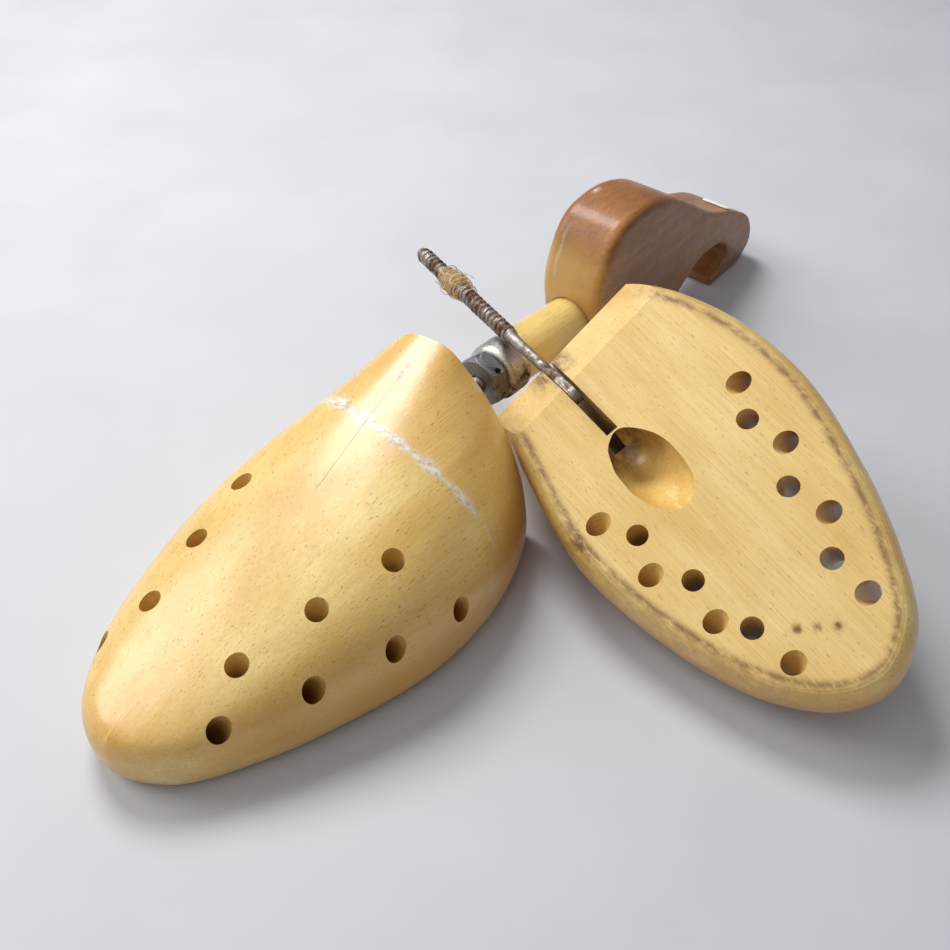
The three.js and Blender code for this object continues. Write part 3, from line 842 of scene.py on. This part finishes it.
def sharpened(node, width, material, slot):
    """A copy of a CAD node with its edges broken by a small bevel."""
    source = frame["nodes"][node]
    obj = source.copy()
    obj.data = source.data.copy()
    obj.name = node + "_fine"
    bpy.context.scene.collection.objects.link(obj)
    obj.parent = None
    for key in list(obj.keys()):
        del obj[key]
    obj.hide_render = False
    shape = bmesh.new()
    shape.from_mesh(obj.data)
    bmesh.ops.remove_doubles(shape, verts=shape.verts, dist=0.005 * MM)
    bmesh.ops.dissolve_limit(shape, angle_limit=math.radians(1), verts=shape.verts, edges=shape.edges)
    shape.to_mesh(obj.data)
    shape.free()
    bevel = obj.modifiers.new("bevel", "BEVEL")
    bevel.width = width * MM
    bevel.segments = 2
    bevel.limit_method = "ANGLE"
    bevel.angle_limit = math.radians(28)
    apply_modifiers(obj)
    obj.data.shade_smooth()
    obj.data.materials.clear()
    obj.data.materials.append(material)
    body = source["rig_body"]
    return place(obj, Matrix.Identity(4), body, slot, node)


def patch_paint():
    """Chipped white paint."""
    n = Nodes("white_patch")
    chips = n.noise((0.8, 0.8, 0.8), detail=4, roughness=0.7)
    color = n.mix(n.ramp(chips, 0.62, 0.7), (0.90, 0.89, 0.85), (0.35, 0.20, 0.10))
    n.bump(chips, 0.4, 0.1 * MM)
    return n.surface(color, n.ramp(chips, 0.3, 0.7, 0.45, 0.7))


# ------------------------------------------------------------------ wood fibres on the loose rod


def fibres():
    """Shavings caught in the thread: thin curls wound round the rod, with a few loose ends."""
    rng = np.random.default_rng(SEED)
    curve = bpy.data.curves.new("wood_fibres", "CURVE")
    curve.dimensions = "3D"
    curve.bevel_depth = 0.11 * MM
    curve.bevel_resolution = 1
    middle = thread_start + thread_turns * thread_pitch * 0.62
    strands = 130
    for i in range(strands):
        turns = rng.uniform(0.3, 1.1)
        start = rng.uniform(0, 2 * math.pi)
        x = middle + rng.normal(0, 3.2)
        lift = abs(rng.normal(0, 0.7))
        drift = rng.normal(0, 2.0)
        flick = rng.uniform(0, 3.0) if i % 5 == 0 else 0
        spline = curve.splines.new("POLY")
        steps = 14
        spline.points.add(steps - 1)
        for k in range(steps):
            t = k / (steps - 1)
            angle = start + turns * 2 * math.pi * t
            radius = thread_crest + 0.1 + lift * math.sin(math.pi * t) + flick * t**3
            y = radius * math.cos(angle)
            z = radius * math.sin(angle)
            spline.points[k].co = (*(Vector((x + drift * t, y, z)) * MM), 1)
    obj = bpy.data.objects.new("wood_fibres", curve)
    bpy.context.scene.collection.objects.link(obj)
    n = Nodes("dry_fibre")
    tone = n.noise((1.5, 1.5, 1.5), detail=3)
    color = n.mix(n.ramp(tone, 0.35, 0.65), (0.86, 0.68, 0.42), (0.60, 0.42, 0.20))
    n.bump(tone, 0.3, 0.05 * MM)
    curve.materials.append(n.surface(color, n.ramp(tone, 0.3, 0.7, 0.7, 0.9)))
    graph = bpy.context.evaluated_depsgraph_get()
    mesh = bpy.data.meshes.new_from_object(obj.evaluated_get(graph))
    bpy.data.objects.remove(obj)
    solid = bpy.data.objects.new("wood_fibres", mesh)
    bpy.context.scene.collection.objects.link(solid)
    return place(solid, loose_rod_frame, "loose_rod", "raw_beech")


# ------------------------------------------------------------------ build

whole_forepart()
loose_forepart()
make_rod("rod_whole", rod_frame, "rod", "threaded_rod")
make_rod("rod_loose", loose_rod_frame, "loose_rod", "second_rod")
heel_block()
ferrule()
neck()
sharpened("hex_nut", 0.3, nut_steel, "nut_steel")
for pin_node in ("hinge_pin", "second_hinge_pin", "neck_cross_pin"):
    sharpened(pin_node, 0.25, rod_steel, "rusty_steel")
sharpened("tail_patch", 0.2, patch_paint(), "white_patch")
fibres()


# ------------------------------------------------------------------ stage


def floor():
    n = Nodes("floor")
    tone = n.noise((60, 60, 60), detail=4)
    color = n.mix(n.ramp(tone, 0.3, 0.7), (0.56, 0.57, 0.60), (0.60, 0.61, 0.64))
    material = n.surface(color, n.ramp(tone, 0.3, 0.7, 0.55, 0.62))
    size = 2.0
    corners = [(-size, -size, 0), (size, -size, 0), (size, size, 0), (-size, size, 0)]
    obj = mesh_object("floor", corners, [(0, 1, 2, 3)])
    obj.data.materials.append(material)
    co = [c for corner in obj.data.vertices for c in corner.co]
    obj.data.attributes.new("local", "FLOAT_VECTOR", "POINT").data.foreach_set("vector", co)


heading = math.radians(218.42)  # the way the camera looks, seen from above
elevation = math.radians(44.0)
roll = math.radians(0.71)
camera_place = Vector((186.7, 169.1, 250.8)) * MM  # in the whole tree's last frame
sole_datum = Vector((75, 5, 0)) * MM  # the frame's origin, in the whole tree's last frame


def look(direction_heading, direction_elevation):
    """The direction that points down by the elevation, along the heading."""
    flat = math.cos(direction_elevation)
    x = math.cos(direction_heading) * flat
    y = math.sin(direction_heading) * flat
    return Vector((x, y, -math.sin(direction_elevation)))


def camera():
    data = bpy.data.cameras.new("camera")
    data.sensor_width = 36
    data.lens = 41.65
    data.clip_start = 0.01
    obj = bpy.data.objects.new("camera", data)
    bpy.context.scene.collection.objects.link(obj)
    forward = look(heading, elevation)
    right = forward.cross(Vector((0, 0, 1))).normalized()
    up = right.cross(forward)
    side = right * math.cos(roll) + up * math.sin(roll)
    top = up * math.cos(roll) - right * math.sin(roll)
    turn = Matrix((side, top, -forward)).transposed().to_4x4()
    obj.matrix_world = Matrix.Translation(camera_place - sole_datum) @ turn
    bpy.context.scene.camera = obj


def area_light(name, turn_degrees, height_degrees, distance, size, watts):
    """A soft box aimed at the object, placed by its bearing from the camera's heading."""
    data = bpy.data.lights.new(name, "AREA")
    data.shape = "DISK"
    data.size = size
    data.energy = watts
    obj = bpy.data.objects.new(name, data)
    bpy.context.scene.collection.objects.link(obj)
    aim = Vector((-0.08, 0.02, 0.02))
    back = -look(heading + math.radians(180 + turn_degrees), math.radians(height_degrees))
    obj.location = aim + back * distance
    obj.rotation_euler = (-back).to_track_quat("-Z", "Y").to_euler()


def studio():
    area_light("key", turn_degrees=30, height_degrees=55, distance=0.9, size=0.40, watts=5.6)
    area_light("fill", turn_degrees=140, height_degrees=55, distance=1.2, size=1.0, watts=2.2)
    area_light("left", turn_degrees=80, height_degrees=38, distance=1.1, size=0.6, watts=5.0)
    world = bpy.data.worlds.new("studio")
    bpy.context.scene.world = world
    world.use_nodes = True
    background = world.node_tree.nodes["Background"]
    background.inputs["Color"].default_value = (0.93, 0.95, 1.0, 1)
    background.inputs["Strength"].default_value = 0.26
    bpy.context.scene.view_settings.view_transform = "Standard"


floor()
camera()
studio()
